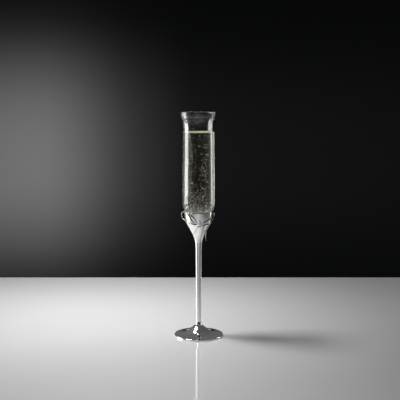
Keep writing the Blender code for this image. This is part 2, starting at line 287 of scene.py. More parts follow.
def smooth_mesh(name, shape, sharp_angle=SHARP_ANGLE):
    """Turn a bmesh into a smooth-shaded mesh whose corners stay sharp."""
    mesh = bpy.data.meshes.new(name)
    shape.to_mesh(mesh)
    shape.free()
    mesh.shade_smooth()
    mesh.set_sharp_from_angle(angle=sharp_angle)
    return mesh


def add_ring(shape, reaches, height):
    """Add a ring of points round Z at a height, and return them. Each point has its own reach."""
    ring = []
    for index, reach in enumerate(reaches):
        angle = 2.0 * math.pi * index / len(reaches)
        ring.append(shape.verts.new((reach * math.cos(angle), reach * math.sin(angle), height)))
    return ring


def join_rings(shape, rings):
    """Join each ring of points to the next with four-sided faces."""
    for lower, upper in zip(rings, rings[1:]):
        for index in range(len(lower)):
            after = (index + 1) % len(lower)
            shape.faces.new((lower[index], lower[after], upper[after], upper[index]))


def spun_mesh(name, profile, segments, closed=False):
    """Return a mesh spun round Z from (radius, height) points that run down its outer side."""
    shape = bmesh.new()
    rail = [shape.verts.new((radius, 0.0, height)) for radius, height in profile]
    pairs = list(zip(rail, rail[1:]))
    if closed:
        pairs.append((rail[-1], rail[0]))
    edges = [shape.edges.new(pair) for pair in pairs]
    bmesh.ops.spin(shape, geom=rail + edges, cent=(0.0, 0.0, 0.0), axis=(0.0, 0.0, 1.0),
                   angle=2.0 * math.pi, steps=segments, use_merge=True)
    bmesh.ops.remove_doubles(shape, verts=shape.verts[:], dist=0.000001)
    bmesh.ops.recalc_face_normals(shape, faces=shape.faces[:])
    return smooth_mesh(name, shape)


def spun_piece(name, profile, material, slot, node, segments=ROUND_SEGMENTS, closed=False):
    """Make a spun piece that stands for the named CAD node."""
    return add_piece(spun_mesh(name, profile, segments, closed), material, slot, node)


def wire_piece(name, points, stand_offs, material, node):
    """Make a round wire with domed ends.

    The points are (degrees from the front, millimetres of height), and each has the distance
    that the wire's middle stands off the surface.
    """
    radius = sizes().wire_radius
    outline = outer_outline()
    route = [(degrees, height * MM, stand_off)
             for (degrees, height), stand_off in zip(points, stand_offs)]
    path = []
    for degrees, height, stand_off in smooth_path(route, 8):
        reach = radius_at(outline, height) + stand_off
        angle = math.radians(degrees)
        path.append(Vector((reach * math.sin(angle), -reach * math.cos(angle), height)))

    dome_steps = 4
    start_dir = (path[0] - path[1]).normalized()
    end_dir = (path[-1] - path[-2]).normalized()
    narrowest = 0.02
    places = [(place, 1.0) for place in path]
    for step in range(1, dome_steps + 1):
        angle = 0.5 * math.pi * step / dome_steps
        reach = radius * math.sin(angle)
        width = max(math.cos(angle), narrowest)
        places.insert(0, (path[0] + reach * start_dir, width))
        places.append((path[-1] + reach * end_dir, width))

    curve = bpy.data.curves.new(name, "CURVE")
    curve.dimensions = "3D"
    curve.bevel_depth = radius
    curve.bevel_resolution = 6
    curve.use_fill_caps = True
    spline = curve.splines.new("POLY")
    spline.points.add(len(places) - 1)
    for point, (place, width) in zip(spline.points, places):
        point.co = (*place, 1.0)
        point.radius = width
    return add_piece(curve, material, "wire_silver", node)


# ---------------------------------------------------------------- shader node groups
def node_group(name, inputs, outputs):
    """Return a new shader node group with value sockets, and its two end nodes."""
    tree = bpy.data.node_groups.new(name, "ShaderNodeTree")
    for label, default in inputs:
        socket = tree.interface.new_socket(name=label, in_out="INPUT", socket_type="NodeSocketFloat")
        socket.default_value = default
    for label in outputs:
        tree.interface.new_socket(name=label, in_out="OUTPUT", socket_type="NodeSocketFloat")
    return tree, tree.nodes.new("NodeGroupInput"), tree.nodes.new("NodeGroupOutput")


def feed(tree, value, socket):
    """Link a node's output to a socket, or set the socket to a number or colour."""
    if isinstance(value, bpy.types.NodeSocket):
        tree.links.new(value, socket)
    else:
        socket.default_value = value


def math_node(tree, operation, first, second=None):
    """Return the output of a Math node fed by sockets or numbers."""
    node = tree.nodes.new("ShaderNodeMath")
    node.operation = operation
    for socket, value in zip(node.inputs, (first, second)):
        if value is not None:
            feed(tree, value, socket)
    return node.outputs["Value"]


def colour_mix(tree, blend, factor, first, second):
    """Return a mix of two colours, each a socket or a colour, by a factor that is a socket or number."""
    mix = tree.nodes.new("ShaderNodeMix")
    mix.data_type = "RGBA"
    mix.blend_type = blend
    feed(tree, factor, mix.inputs["Factor"])
    feed(tree, first, mix.inputs["A"])
    feed(tree, second, mix.inputs["B"])
    return mix.outputs["Result"]


def eased(tree, value, low, high):
    """Return a value eased from 0 at low to 1 at high, each a socket or a number."""
    ease = tree.nodes.new("ShaderNodeMapRange")
    ease.interpolation_type = "SMOOTHSTEP"
    feed(tree, value, ease.inputs["Value"])
    feed(tree, low, ease.inputs["From Min"])
    feed(tree, high, ease.inputs["From Max"])
    return ease.outputs["Result"]


def turning_lines_group():
    """Fine lines left by spinning and polishing: they run round the axis, at each height and radius."""
    name = "Turning Lines"
    if name in bpy.data.node_groups:
        return bpy.data.node_groups[name]
    tree, start, end = node_group(name, [("Lines", 9000.0)], ["Height"])
    place = tree.nodes.new("ShaderNodeTexCoord")
    parts = tree.nodes.new("ShaderNodeSeparateXYZ")
    tree.links.new(place.outputs["Object"], parts.inputs["Vector"])
    across = math_node(tree, "MULTIPLY", parts.outputs["X"], parts.outputs["X"])
    along = math_node(tree, "MULTIPLY", parts.outputs["Y"], parts.outputs["Y"])
    radius = math_node(tree, "SQRT", math_node(tree, "ADD", across, along))
    travel = math_node(tree, "ADD", radius, math_node(tree, "MULTIPLY", parts.outputs["Z"], 0.83))
    noise = tree.nodes.new("ShaderNodeTexNoise")
    noise.noise_dimensions = "1D"
    noise.inputs["Detail"].default_value = 3.0
    tree.links.new(travel, noise.inputs["W"])
    tree.links.new(start.outputs["Lines"], noise.inputs["Scale"])
    tree.links.new(noise.outputs["Fac"], end.inputs["Height"])
    return tree


def handling_marks_group():
    """Soft patches left by hands and cloths, as a mask from 0 where clean to 1 where marked."""
    name = "Handling Marks"
    if name in bpy.data.node_groups:
        return bpy.data.node_groups[name]
    tree, start, end = node_group(name, [("Size", 60.0), ("Cover", 0.45), ("Softness", 0.25)],
                                  ["Marks", "Grain"])
    place = tree.nodes.new("ShaderNodeTexCoord")
    patches = tree.nodes.new("ShaderNodeTexNoise")
    patches.inputs["Detail"].default_value = 4.0
    patches.inputs["Roughness"].default_value = 0.6
    patches.inputs["Distortion"].default_value = 0.8
    tree.links.new(place.outputs["Object"], patches.inputs["Vector"])
    tree.links.new(start.outputs["Size"], patches.inputs["Scale"])
    grain = tree.nodes.new("ShaderNodeTexNoise")
    grain.inputs["Detail"].default_value = 2.0
    tree.links.new(place.outputs["Object"], grain.inputs["Vector"])
    tree.links.new(math_node(tree, "MULTIPLY", start.outputs["Size"], 24.0), grain.inputs["Scale"])
    cover = start.outputs["Cover"]
    full = math_node(tree, "ADD", cover, start.outputs["Softness"])
    tree.links.new(eased(tree, patches.outputs["Fac"], cover, full), end.inputs["Marks"])
    tree.links.new(grain.outputs["Fac"], end.inputs["Grain"])
    return tree


def place_group(tree, group, **values):
    """Add a node group to a material with its own values."""
    node = tree.nodes.new("ShaderNodeGroup")
    node.node_tree = group
    for label, value in values.items():
        node.inputs[label].default_value = value
    return node


# ---------------------------------------------------------------- materials
def new_material(name):
    """Return a material, its node tree and its Principled shader."""
    material = bpy.data.materials.new(name)
    material.use_nodes = True
    return material, material.node_tree, material.node_tree.nodes["Principled BSDF"]


def two_tone(tree, factor, first, second, target):
    """Feed a colour socket from a mix of two colours by a factor."""
    mixed = colour_mix(tree, "MIX", factor, (*first, 1.0), (*second, 1.0))
    tree.links.new(mixed, target)


def spread(tree, factor, low, high, target):
    """Feed a value socket from a factor spread between two values."""
    span = tree.nodes.new("ShaderNodeMapRange")
    tree.links.new(factor, span.inputs["Value"])
    span.inputs["To Min"].default_value = low
    span.inputs["To Max"].default_value = high
    tree.links.new(span.outputs["Result"], target)


def raise_surface(tree, height, distance, shader):
    """Feed a shader's Normal from a Bump node that reads a height."""
    bump = tree.nodes.new("ShaderNodeBump")
    bump.inputs["Strength"].default_value = 1.0
    bump.inputs["Distance"].default_value = distance
    tree.links.new(height, bump.inputs["Height"])
    tree.links.new(bump.outputs["Normal"], shader.inputs["Normal"])


def metal(name, colour, low, high, lines, depth):
    """Return a turned metal: fine lines in its surface, and haze where it was handled.

    Its roughness runs from low where clean to high where handled.
    """
    if name in bpy.data.materials:
        return bpy.data.materials[name]
    material, tree, shader = new_material(name)
    shader.inputs["Metallic"].default_value = 1.0
    turning = place_group(tree, turning_lines_group(), Lines=lines)
    marks = place_group(tree, handling_marks_group(), Size=70.0, Cover=0.46, Softness=0.30)
    dull = tuple(0.93 * channel for channel in colour)
    two_tone(tree, marks.outputs["Marks"], colour, dull, shader.inputs["Base Color"])
    spread(tree, marks.outputs["Marks"], low, high, shader.inputs["Roughness"])
    raise_surface(tree, turning.outputs["Height"], depth, shader)
    return material


def polished_silver():
    """Bright silver plate with the faintest spinning lines."""
    return metal("Polished Silver", tuple(colours().silver), low=0.06, high=0.11,
                 lines=5200.0, depth=0.0012 * MM)


def wire_silver():
    """Silver plated wire, rougher than the cup, with its colour darkened as painted shade so the bow reads
    as dark lines.
    """
    return metal("Wire Silver", tuple(colours().wire), low=0.22, high=0.32,
                 lines=3000.0, depth=0.002 * MM)


def turned_brass():
    """Brass as it comes off the lathe."""
    return metal("Turned Brass", tuple(colours().brass), low=0.24, high=0.36,
                 lines=4000.0, depth=0.006 * MM)


def plated_steel():
    """Zinc plated steel for the rod, washer and nut."""
    return metal("Plated Steel", tuple(colours().steel), low=0.28, high=0.42,
                 lines=3600.0, depth=0.004 * MM)


def crystal():
    """Clear crystal with the faintest finger marks and drawn cords."""
    material, tree, shader = new_material("Crystal")
    shader.inputs["Transmission Weight"].default_value = 1.0
    shader.inputs["IOR"].default_value = 1.52
    marks = place_group(tree, handling_marks_group(), Size=45.0, Cover=0.56, Softness=0.25)
    two_tone(tree, marks.outputs["Marks"], (1.0, 1.0, 1.0), (0.985, 0.99, 0.985),
             shader.inputs["Base Color"])
    spread(tree, marks.outputs["Marks"], 0.0, 0.02, shader.inputs["Roughness"])
    raise_surface(tree, marks.outputs["Grain"], 0.0002 * MM, shader)
    return material


def champagne():
    """The drink: clear, with a pale gold that comes with depth."""
    material, tree, shader = new_material("Champagne")
    shader.inputs["Transmission Weight"].default_value = 1.0
    shader.inputs["IOR"].default_value = 1.34
    shader.inputs["Roughness"].default_value = 0.0
    swirl = place_group(tree, handling_marks_group(), Size=25.0, Cover=0.40, Softness=0.40)
    two_tone(tree, swirl.outputs["Marks"], (1.0, 1.0, 0.98), (1.0, 0.99, 0.96),
             shader.inputs["Base Color"])
    depth = tree.nodes.new("ShaderNodeVolumeAbsorption")
    depth.inputs["Color"].default_value = (*colours().drink, 1.0)
    depth.inputs["Density"].default_value = 14.0
    tree.links.new(depth.outputs["Volume"], tree.nodes["Material Output"].inputs["Volume"])
    return material


def bubble_gas():
    """Gas in the drink: it bends light the other way, and a faint glow stands for light it scatters."""
    material, tree, shader = new_material("Bubble Gas")
    shader.inputs["Transmission Weight"].default_value = 1.0
    shader.inputs["IOR"].default_value = 0.75
    shader.inputs["Roughness"].default_value = 0.0
    film_and_glow = place_group(tree, handling_marks_group(), Size=300.0, Cover=0.45, Softness=0.30)
    two_tone(tree, film_and_glow.outputs["Marks"], (1.0, 1.0, 1.0), (0.97, 0.98, 0.95),
             shader.inputs["Base Color"])
    # painted glow: the emission stands in for light the bubbles scatter, made uneven by the same patches
    # that vary their colour
    two_tone(tree, film_and_glow.outputs["Marks"], (1.0, 1.0, 0.92), (0.35, 0.35, 0.31),
             shader.inputs["Emission Color"])
    shader.inputs["Emission Strength"].default_value = 0.24
    return material


def fine_foam():
    """Fine foam: pale, with a faint glow that stands for light scattered within it."""
    material, tree, shader = new_material("Fine Foam")
    shader.inputs["IOR"].default_value = 1.34
    shader.inputs["Subsurface Weight"].default_value = 0.6
    shader.inputs["Subsurface Radius"].default_value = (1.0, 1.0, 0.8)
    shader.inputs["Subsurface Scale"].default_value = 1.0 * MM
    cells_and_glow = place_group(tree, handling_marks_group(), Size=700.0, Cover=0.42, Softness=0.25)
    pale = tuple(colours().foam)
    shade = tuple(0.82 * channel for channel in pale)
    two_tone(tree, cells_and_glow.outputs["Marks"], pale, shade, shader.inputs["Base Color"])
    # painted glow: the emission stands in for light scattered within the foam, made uneven by the same
    # cells that vary its colour
    two_tone(tree, cells_and_glow.outputs["Marks"], pale, shade, shader.inputs["Emission Color"])
    shader.inputs["Emission Strength"].default_value = 0.18
    spread(tree, cells_and_glow.outputs["Marks"], 0.18, 0.40, shader.inputs["Roughness"])
    raise_surface(tree, cells_and_glow.outputs["Grain"], 0.02 * MM, shader)
    return material


def cement():
    """Cured cement: milky, with a fine grain."""
    material, tree, shader = new_material("Cement")
    grain = place_group(tree, handling_marks_group(), Size=180.0, Cover=0.42, Softness=0.30)
    pale = tuple(colours().cement)
    shade = tuple(0.88 * channel for channel in pale)
    two_tone(tree, grain.outputs["Marks"], pale, shade, shader.inputs["Base Color"])
    spread(tree, grain.outputs["Marks"], 0.38, 0.55, shader.inputs["Roughness"])
    raise_surface(tree, grain.outputs["Grain"], 0.03 * MM, shader)
    return material


def pale_floor():
    """A pale, lightly polished floor with a soft unevenness."""
    material, tree, shader = new_material("Pale Floor")
    marks = place_group(tree, handling_marks_group(), Size=3.0, Cover=0.35, Softness=0.45)
    pale = tuple(colours().floor)
    shade = tuple(0.96 * channel for channel in pale)
    two_tone(tree, marks.outputs["Marks"], pale, shade, shader.inputs["Base Color"])
    spread(tree, marks.outputs["Marks"], 0.07, 0.11, shader.inputs["Roughness"])
    return material


# ---------------------------------------------------------------- operators: crystal and drink
class FLUTE_OT_crystal_bowl(bpy.types.Operator):
    """Blow the crystal tube: flared lip, slight waist, straight wall and rounded base."""

    bl_idname = "flute.crystal_bowl"
    bl_label = "Crystal Bowl"

    def execute(self, context):
        half_lip = 0.5 * sizes().lip_wall
        lip = arc((GLASS_HIGH.x - half_lip, GLASS_HIGH.z - half_lip), half_lip, 180.0, 0.0, 10)
        profile = glass_inside()[:-1] + lip + glass_outside()[1:]
        spun_piece("crystal_bowl", profile, crystal(), "crystal", "glass_bowl")
        return {"FINISHED"}


def drink_outline():
    """Return the drink's outline: level, creep up the wall, wall, and rounded bottom."""
    into_glass = 0.03 * MM
    creep = 1.3 * MM
    level = GLASS_HIGH.z - sizes().fill_depth
    inside = glass_inside()
    wall = radius_at(inside, level + creep) + into_glass
    creep_width = 4.0 * MM
    creep_fade = 0.8 * MM
    creep_steps = 14
    top = [(0.0, level)]
    for step in range(creep_steps + 1):
        gap = creep_width * (1.0 - step / creep_steps) ** 1.6
        top.append((wall - gap, level + creep * math.exp(-gap / creep_fade)))
    side = [(radius + into_glass, height) for radius, height in reversed(inside)
            if height < level + creep and radius > 0.0]
    return top + side + [(0.0, GLASS_LOW.z + sizes().base_thickness - into_glass)]


class FLUTE_OT_champagne(bpy.types.Operator):
    """Pour the drink up to its level, with the slight creep up the crystal."""

    bl_idname = "flute.champagne"
    bl_label = "Champagne"

    def execute(self, context):
        mesh = spun_mesh("champagne", drink_outline(), ROUND_SEGMENTS)
        add_piece(mesh, champagne(), "crystal")
        return {"FINISHED"}


def balls_mesh(name, balls, subdivisions):
    """Return one mesh of small balls from their (centre, radius) pairs."""
    shape = bmesh.new()
    bmesh.ops.create_icosphere(shape, subdivisions=subdivisions, radius=1.0)
    corners = [corner.co.copy() for corner in shape.verts]
    sides = [[corner.index for corner in face.verts] for face in shape.faces]
    shape.free()
    points = []
    faces = []
    for centre, radius in balls:
        first = len(points)
        points += [centre + radius * corner for corner in corners]
        faces += [[first + index for index in side] for side in sides]
    mesh = bpy.data.meshes.new(name)
    mesh.from_pydata(points, [], faces)
    mesh.shade_smooth()
    return mesh


def clear_of(taken, centre, radius):
    """Say whether a ball keeps clear of those already placed."""
    return all((centre - other).length > radius + size for other, size in taken)


def bubble_place(dice, inside, level, floor):
    """Return a random place and radius for a bubble: many low down and near the wall, few high up."""
    lowest = floor + 5.0 * MM
    highest = level - 4.0 * MM
    height = lowest + (highest - lowest) * dice.random() ** 2.8
    radius = dice.uniform(0.16, 0.42) * MM
    reach = radius_at(inside, height) - radius - 0.25 * MM
    out = reach * (1.0 - 0.75 * dice.random() ** 2.2)
    angle = dice.uniform(0.0, 2.0 * math.pi)
    return Vector((out * math.cos(angle), out * math.sin(angle), height)), radius


class FLUTE_OT_bubbles(bpy.types.Operator):
    """Scatter the bubbles: a cloud low down, strings that rise, and a few loose ones."""

    bl_idname = "flute.bubbles"
    bl_label = "Bubbles"

    def execute(self, context):
        dice = random.Random(11)
        inside = glass_inside()
        level = GLASS_HIGH.z - sizes().fill_depth
        floor = GLASS_LOW.z + sizes().base_thickness
        string_count = 2
        taken = []
        for _ in range(string_count):
            angle = dice.uniform(0.0, 2.0 * math.pi)
            out = dice.uniform(2.0, 13.0) * MM
            height = floor + dice.uniform(8.0, 20.0) * MM
            radius = 0.24 * MM
            while height < level - 3.0 * MM:
                sway = dice.uniform(-0.3, 0.3) * MM
                centre = Vector((out * math.cos(angle) + sway, out * math.sin(angle), height))
                if clear_of(taken, centre, radius):
                    taken.append((centre, radius))
                radius = min(radius + 0.012 * MM, 0.40 * MM)
                height += dice.uniform(2.4, 4.2) * MM + 6.0 * radius
        while len(taken) < sizes().bubble_count:
            centre, radius = bubble_place(dice, inside, level, floor)
            if clear_of(taken, centre, radius):
                taken.append((centre, radius))
        mesh = balls_mesh("bubbles", taken, 2)
        add_piece(mesh, bubble_gas(), "crystal")
        return {"FINISHED"}


class FLUTE_OT_foam_ring(bpy.types.Operator):
    """Lay the ring of fine foam at the drink's edge, as balls whose cores keep clear of each other."""

    bl_idname = "flute.foam_ring"
    bl_label = "Foam Ring"

    def execute(self, context):
        dice = random.Random(5)
        level = GLASS_HIGH.z - sizes().fill_depth
        wall = radius_at(glass_inside(), level)
        ball_count = 900
        ring_width = 1.2 * MM
        core = 0.3
        cores = []
        while len(cores) < ball_count:
            radius = dice.uniform(0.26, 0.50) * MM
            angle = dice.uniform(0.0, 2.0 * math.pi)
            out = wall - radius - 0.05 * MM - ring_width * dice.random() ** 2.0
            height = level + dice.uniform(-0.1, 1.1) * MM
            centre = Vector((out * math.cos(angle), out * math.sin(angle), height))
            if clear_of(cores, centre, core * radius):
                cores.append((centre, core * radius))
        mesh = balls_mesh("foam_ring", [(centre, size / core) for centre, size in cores], 2)
        add_piece(mesh, fine_foam(), "crystal")
        return {"FINISHED"}


# ---------------------------------------------------------------- operators: metal cup, stem, foot
class FLUTE_OT_cup(bpy.types.Operator):
    """Spin the cup: the collar round the crystal and the cone that narrows to the stem."""

    bl_idname = "flute.cup"
    bl_label = "Silver Cup"

    def execute(self, context):
        wall = sizes().cup_wall
        outside = collar_outside()
        inside = [(radius - wall, height) for radius, height in reversed(outside)]
        rim = arc((outside[0][0] - 0.5 * wall, outside[0][1]), 0.5 * wall, 180.0, 0.0, 8)
        profile = outside[1:] + inside[:-1] + rim
        spun_piece("spun_collar", profile, polished_silver(), "polished_silver",
                   "cup_collar", closed=True)

        outside = cone_outside()
        gap = 0.1 * MM
        lap_top = CONE_HIGH.z
        lap_foot = outside[0][1]
        lap_radius = radius_at(collar_outside(), lap_top) - wall - gap
        lap = [(lap_radius, lap_top), (CONE_HIGH.x - wall - gap, lap_foot)]
        inside = [(radius - 1.3 * wall, height) for radius, height in reversed(outside)]
        inside[-1] = (CONE_HIGH.x - 2.0 * wall - gap, lap_foot)
        profile = lap + outside + inside + [(lap_radius - wall, lap_top)]
        spun_piece("spun_cone", profile, polished_silver(), "polished_silver",
                   "cup_cone", closed=True)
        return {"FINISHED"}


class FLUTE_OT_stem(bpy.types.Operator):
    """Turn the slender stem, with its bore for the tie rod."""

    bl_idname = "flute.stem"
    bl_label = "Stem"

    def execute(self, context):
        bore = 1.9 * MM
        top = STEM_HIGH.z + 0.25 * MM
        outside = smooth_path([
            (4.25 * MM, top),
            (3.85 * MM, 108.0 * MM),
            (3.65 * MM, 84.0 * MM),
            (3.5 * MM, 38.0 * MM),
            (3.25 * MM, STEM_LOW.z),
        ], 10)
        profile = outside + [(bore, STEM_LOW.z), (bore, top)]
        spun_piece("turned_stem", profile, polished_silver(), "polished_silver",
                   "stem_tube", closed=True)
        return {"FINISHED"}


class FLUTE_OT_foot(bpy.types.Operator):
    """Spin the trumpet foot: thin edge, flat resting ring and a dished underside."""

    bl_idname = "flute.foot"
    bl_label = "Foot"

    def execute(self, context):
        edge = FOOT_HIGH.x
        top = STEM_LOW.z - 0.05 * MM
        recess = WASHER_HIGH.z + 0.3 * MM
        upper = smooth_path([
            (3.25 * MM, top),
            (3.9 * MM, 14.9 * MM),
            (6.3 * MM, 12.2 * MM),
            (10.2 * MM, 8.9 * MM),
            (13.5 * MM, 6.1 * MM),
            (17.5 * MM, 4.3 * MM),
            (23.0 * MM, 3.0 * MM),
            (edge - 0.4 * MM, 2.0 * MM),
        ], 10)
        rounding = [
            (edge - 0.12 * MM, 1.75 * MM),
            (edge, 1.24 * MM),
            (edge - 0.06 * MM, 0.65 * MM),
            (edge - 0.3 * MM, 0.2 * MM),
            (29.8 * MM, 0.0),
            (27.2 * MM, 0.0),
        ]
        dish = smooth_path([
            (26.7 * MM, 0.6 * MM),
            (21.5 * MM, 1.6 * MM),
            (17.5 * MM, 2.7 * MM),
            (13.5 * MM, 4.4 * MM),
            (10.0 * MM, 6.9 * MM),
            (6.6 * MM, recess),
        ], 8)
        hole = [(ROD_HOLE, recess), (ROD_HOLE, top)]
        spun_piece("spun_foot", upper + rounding + dish + hole, polished_silver(),
                   "polished_silver", "foot_disc", closed=True)
        return {"FINISHED"}


# ---------------------------------------------------------------- operators: hidden fastenings
class FLUTE_OT_cement_bed(bpy.types.Operator):
    """Lay the cement that the crystal beds into."""

    bl_idname = "flute.cement_bed"
    bl_label = "Cement Bed"

    def execute(self, context):
        top = smooth_path([
            (0.0, CEMENT_HIGH.z - 2.9 * MM),
            (8.6 * MM, 144.6 * MM),
            (13.4 * MM, CEMENT_HIGH.z),
        ], 6)
        side = [
            (CEMENT_HIGH.x, CEMENT_HIGH.z - 0.3 * MM),
            (13.9 * MM, CONE_HIGH.z - 3.4 * MM),
            (11.9 * MM, CEMENT_LOW.z + 0.3 * MM),
            (11.6 * MM, CEMENT_LOW.z),
            (0.0, CEMENT_LOW.z),
        ]
        spun_piece("cement_pad", top + side, cement(), "cement", "cement_bed")
        return {"FINISHED"}


class FLUTE_OT_boss(bpy.types.Operator):
    """Turn the brass boss in the bottom of the cone, with chamfered ends."""

    bl_idname = "flute.boss"
    bl_label = "Brass Boss"

    def execute(self, context):
        clearance = 1.3 * sizes().cup_wall + 0.2 * MM
        chamfer = 0.4 * MM
        outline = cone_outside()
        heights = [BOSS_HIGH.z - chamfer, 125.0 * MM, 122.0 * MM, BOSS_LOW.z + chamfer]
        outside = [(radius_at(outline, height) - clearance, height) for height in heights]
        profile = [(outside[0][0] - chamfer, BOSS_HIGH.z)] + outside
        profile += [(outside[-1][0] - chamfer, BOSS_LOW.z)]
        profile += [(ROD_HOLE, BOSS_LOW.z), (ROD_HOLE, BOSS_HIGH.z)]
        spun_piece("brass_boss", profile, turned_brass(), "turned_brass", "cup_boss",
                   SMALL_SEGMENTS, closed=True)
        return {"FINISHED"}


def threaded_rod_mesh(name, low, high, radius):
    """Return a rod with a rolled thread at both ends and a plain shank between."""
    pitch = sizes().thread_pitch
    depth = 0.5 * pitch
    rows_per_turn = 6
    bottom_thread = 9.0 * MM
    top_thread = 8.0 * MM
    step = pitch / rows_per_turn
    heights = [low + step * row for row in range(int(bottom_thread / step) + 1)]
    heights += [high - top_thread + step * row for row in range(int(top_thread / step) + 1)]
    lead_in = 0.6 * MM
    end_share = 0.6
    around = 24
    shape = bmesh.new()
    rings = []
    for height in heights:
        in_thread = height < low + bottom_thread - pitch or height > high - top_thread + pitch
        from_end = min(height - low, high - height)
        taper = min(1.0, end_share + (1.0 - end_share) * from_end / lead_in)
        reaches = []
        for index in range(around):
            phase = ((height - low) / pitch - index / around) % 1.0
            cut = depth * abs(2.0 * phase - 1.0) if in_thread else 0.0
            reaches.append((radius - cut) * taper)
        rings.append(add_ring(shape, reaches, height))
    join_rings(shape, rings)
    shape.faces.new(rings[-1])
    shape.faces.new(tuple(reversed(rings[0])))
    return smooth_mesh(name, shape)


def hexagon_nut_mesh(name):
    """Return a hexagon nut with chamfered corners and a plain hole."""
    corner = NUT_HIGH.y
    flat = corner * math.cos(math.radians(30.0))
    face = flat - 0.1 * MM
    chamfer = 0.35 * MM
    around = 72
    side = []
    for index in range(around):
        turn = 360.0 * index / around
        side.append(flat / math.cos(math.radians((turn + 30.0) % 60.0 - 30.0)))
    levels = [(NUT_LOW.z, face), (NUT_LOW.z + chamfer, corner),
              (NUT_HIGH.z - chamfer, corner), (NUT_HIGH.z, face)]
    shape = bmesh.new()
    rings = []
    for height, limit in levels:
        rings.append(add_ring(shape, [min(reach, limit) for reach in side], height))
    for height in (NUT_HIGH.z, NUT_LOW.z):
        rings.append(add_ring(shape, [ROD_HOLE] * around, height))
    join_rings(shape, rings + rings[:1])
    bmesh.ops.recalc_face_normals(shape, faces=shape.faces[:])
    return smooth_mesh(name, shape, math.radians(20.0))


class FLUTE_OT_tie_rod(bpy.types.Operator):
    """Roll the tie rod's thread at both ends of its plain shank."""

    bl_idname = "flute.tie_rod"
    bl_label = "Tie Rod"

    def execute(self, context):
        mesh = threaded_rod_mesh("threaded_rod", ROD_LOW.z, ROD_HIGH.z, ROD_HIGH.x)
        add_piece(mesh, plated_steel(), "plated_steel", "tie_rod")
        return {"FINISHED"}


class FLUTE_OT_washer_and_nut(bpy.types.Operator):
    """Press the washer and cut the chamfered hexagon nut under the foot."""

    bl_idname = "flute.washer_and_nut"
    bl_label = "Washer and Nut"

    def execute(self, context):
        edge = 0.15 * MM
        outer = WASHER_HIGH.x
        top = WASHER_HIGH.z
        bottom = WASHER_LOW.z
        washer = [(outer - edge, top), (outer, top - edge), (outer, bottom + edge),
                  (outer - edge, bottom), (ROD_HOLE, bottom), (ROD_HOLE, top)]
        spun_piece("pressed_washer", washer, plated_steel(), "plated_steel", "foot_washer",
                   SMALL_SEGMENTS, closed=True)
        add_piece(hexagon_nut_mesh("hexagon_nut"), plated_steel(), "plated_steel", "foot_nut")
        return {"FINISHED"}


# ---------------------------------------------------------------- operators: the wire bow
class FLUTE_OT_wire_bow(bpy.types.Operator):
    """Bend the bow's wires: the tie round the shoulder, two loops, a tendril, a drop and the wrap."""

    bl_idname = "flute.wire_bow"
    bl_label = "Wire Bow"

    def execute(self, context):
        gap = 0.12 * MM
        close = sizes().wire_radius + gap
        step = 2.0 * sizes().wire_radius + gap
        over = close + step
        top = over + step
        silver = wire_silver()

        left_tail = [(-46.0, 129.2), (-23.0, 133.3), (-7.0, 138.4), (2.0, 140.0), (14.0, 141.1)]
        band_right = [(29.0, 141.9), (46.0, 142.3), (60.0, 143.0)]
        band_back = [(90.0 + 30.0 * turn, 143.6) for turn in range(7)]
        band_left = [(288.0, 143.8), (312.0, 144.2), (324.0, 143.7), (337.0, 142.6)]
        knot = [(348.0, 142.6), (361.0, 143.3), (369.0, 143.2), (376.0, 141.6), (379.0, 139.4)]
        right_tail = [(386.0, 136.2), (398.0, 133.7), (413.0, 131.9), (428.0, 129.6)]
        free_end = [(440.0, 126.4), (446.0, 123.6), (448.0, 120.8)]
        plain = left_tail + band_right + band_back + band_left
        layers = [close] * len(plain)
        layers += [0.6 * close + 0.4 * over] + [over] * (len(knot) - 1)
        layers += [0.5 * (close + over), over, over, over]
        layers += [over + 0.4 * MM, over + 1.6 * MM, over + 2.6 * MM]
        wire_piece("bow_tie", plain + knot + right_tail + free_end, layers, silver, "tie_wire")

        points = [
            (-17.5, 145.0), (-26.0, 146.2), (-33.0, 148.8), (-38.0, 152.2), (-48.0, 156.0),
            (-66.0, 157.6), (-80.0, 156.2), (-87.0, 153.2), (-84.0, 149.9), (-75.0, 147.2),
            (-69.0, 146.0),
        ]
        bulge = [0.0, 0.0, 0.0, 0.0, 0.2, 1.0, 2.2, 2.8, 2.4, 0.9, 0.1]
        layers = [close + extra * MM for extra in bulge]
        wire_piece("bow_loop_left", points, layers, silver, "loop_left")

        points = [
            (18.0, 145.1), (25.0, 145.7), (34.0, 146.6), (47.0, 147.9), (59.0, 150.4),
            (67.0, 153.2), (77.0, 155.6), (88.0, 154.8), (95.0, 151.6), (93.0, 148.2),
            (88.0, 146.2),
        ]
        bulge = [0.0, 0.0, 0.0, 0.0, 0.0, 0.1, 0.4, 0.9, 0.9, 0.4, 0.0]
        layers = [close + extra * MM for extra in bulge]
        wire_piece("bow_loop_right", points, layers, silver, "loop_right")

        points = [(-9.5, 145.1), (-13.0, 148.0), (-20.0, 151.2), (-31.0, 153.8)]
        wire_piece("bow_tendril", points, [close] * len(points), silver, "tendril")

        points = [(56.5, 140.9), (56.0, 138.0), (57.0, 135.0), (58.5, 131.8), (62.0, 128.9)]
        wire_piece("bow_drop", points, [close] * len(points), silver, "drop_wire")

        points = [
            (4.0, 146.6), (7.0, 145.6), (9.5, 144.0), (11.0, 141.6), (11.5, 139.2), (11.5, 137.6),
        ]
        layers = [close, 0.4 * close + 0.6 * top, top, top, 0.6 * top, close]
        wire_piece("bow_wrap", points, layers, silver, "knot_wrap")
        return {"FINISHED"}


# ---------------------------------------------------------------- operators: stage, light, camera
def aim(obj, target):
    """Turn a light or a camera towards a point."""
    obj.rotation_euler = (Vector(target) - obj.location).to_track_quat("-Z", "Y").to_euler()


